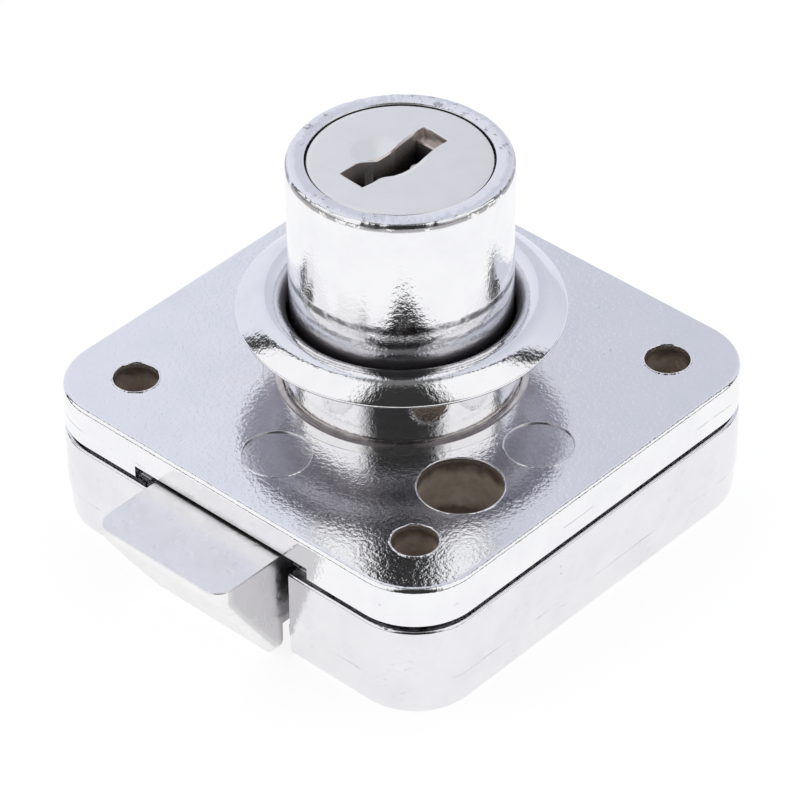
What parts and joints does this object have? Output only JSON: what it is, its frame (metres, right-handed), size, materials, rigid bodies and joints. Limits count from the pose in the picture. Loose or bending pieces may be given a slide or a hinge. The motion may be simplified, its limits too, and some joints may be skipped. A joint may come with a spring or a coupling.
{
  "type": "slam lock",
  "caption": "Square cast lock with a round key barrel, loose trim collar and a sprung bevelled bolt that slams shut and is drawn back by the key.",
  "frame": {"origin": "on the barrel's axis, in the front face of the plate, at the middle of the four fixing holes", "axes": "+Z out of the front along the barrel, the bolt is thrown towards -Y, +X to the right"},
  "size_m": [0.04, 0.0466, 0.0322],
  "materials": {
    "chrome_cast": "bright",
    "chrome_sheet": "bright",
    "nickel_plug": "satin",
    "satin_bolt": "satin",
    "bright_steel": "satin",
    "screw_steel": "bright",
    "spring_steel": "bright",
    "wafer_brass": "satin"
  },
  "bodies": {
    "housing": {"front_plate": "chrome_cast", "barrel": "chrome_cast", "back_case": "chrome_cast", "case_screws": "screw_steel", "bolt_spring_left": "spring_steel", "bolt_spring_right": "spring_steel"},
    "plug": {"plug": "nickel_plug", "drive_cam": "bright_steel", "drive_pin": "bright_steel", "cam_screw": "screw_steel", "wafer_spring_1": "spring_steel", "wafer_spring_2": "spring_steel", "wafer_spring_3": "spring_steel", "wafer_spring_4": "spring_steel", "wafer_spring_5": "spring_steel"},
    "bolt": {"latch_bolt": "satin_bolt"},
    "trim_ring": {"trim_ring": "chrome_sheet"},
    "wafer_1": {"wafer_1": "wafer_brass"},
    "wafer_2": {"wafer_2": "wafer_brass"},
    "wafer_3": {"wafer_3": "wafer_brass"},
    "wafer_4": {"wafer_4": "wafer_brass"},
    "wafer_5": {"wafer_5": "wafer_brass"}
  },
  "joints": [
    {"name": "plug_turn", "type": "hinge", "parent": "housing", "child": "plug", "pos_m": [0, 0, 0], "axis": [0, 0, -1], "range_deg": [0, 90]},
    {"name": "bolt_slide", "type": "slide", "parent": "housing", "child": "bolt", "axis": [0, 1, 0], "range_m": [0, 0.0055], "stiffness_N_per_m": 300, "springref_m": -0.005, "deforming": ["bolt_spring_left", "bolt_spring_right"]},
    {"name": "trim_ring_slide", "type": "slide", "parent": "housing", "child": "trim_ring", "axis": [0, 0, 1], "range_m": [0, 0.012]},
    {"name": "wafer_1_slide", "type": "slide", "parent": "plug", "child": "wafer_1", "axis": [0, 1, 0], "range_m": [0, 0.0007], "stiffness_N_per_m": 60, "springref_m": 0.002, "deforming": ["wafer_spring_1"]},
    {"name": "wafer_2_slide", "type": "slide", "parent": "plug", "child": "wafer_2", "axis": [0, -1, 0], "range_m": [0, 0.0007], "stiffness_N_per_m": 60, "springref_m": 0.002, "deforming": ["wafer_spring_2"]},
    {"name": "wafer_3_slide", "type": "slide", "parent": "plug", "child": "wafer_3", "axis": [0, 1, 0], "range_m": [0, 0.0007], "stiffness_N_per_m": 60, "springref_m": 0.002, "deforming": ["wafer_spring_3"]},
    {"name": "wafer_4_slide", "type": "slide", "parent": "plug", "child": "wafer_4", "axis": [0, -1, 0], "range_m": [0, 0.0007], "stiffness_N_per_m": 60, "springref_m": 0.002, "deforming": ["wafer_spring_4"]},
    {"name": "wafer_5_slide", "type": "slide", "parent": "plug", "child": "wafer_5", "axis": [0, 1, 0], "range_m": [0, 0.0007], "stiffness_N_per_m": 60, "springref_m": 0.002, "deforming": ["wafer_spring_5"]}
  ],
  "couplings": [
    {"joint": "plug_turn", "follows": "bolt_slide", "rad_per_m": 285.6}
  ]
}
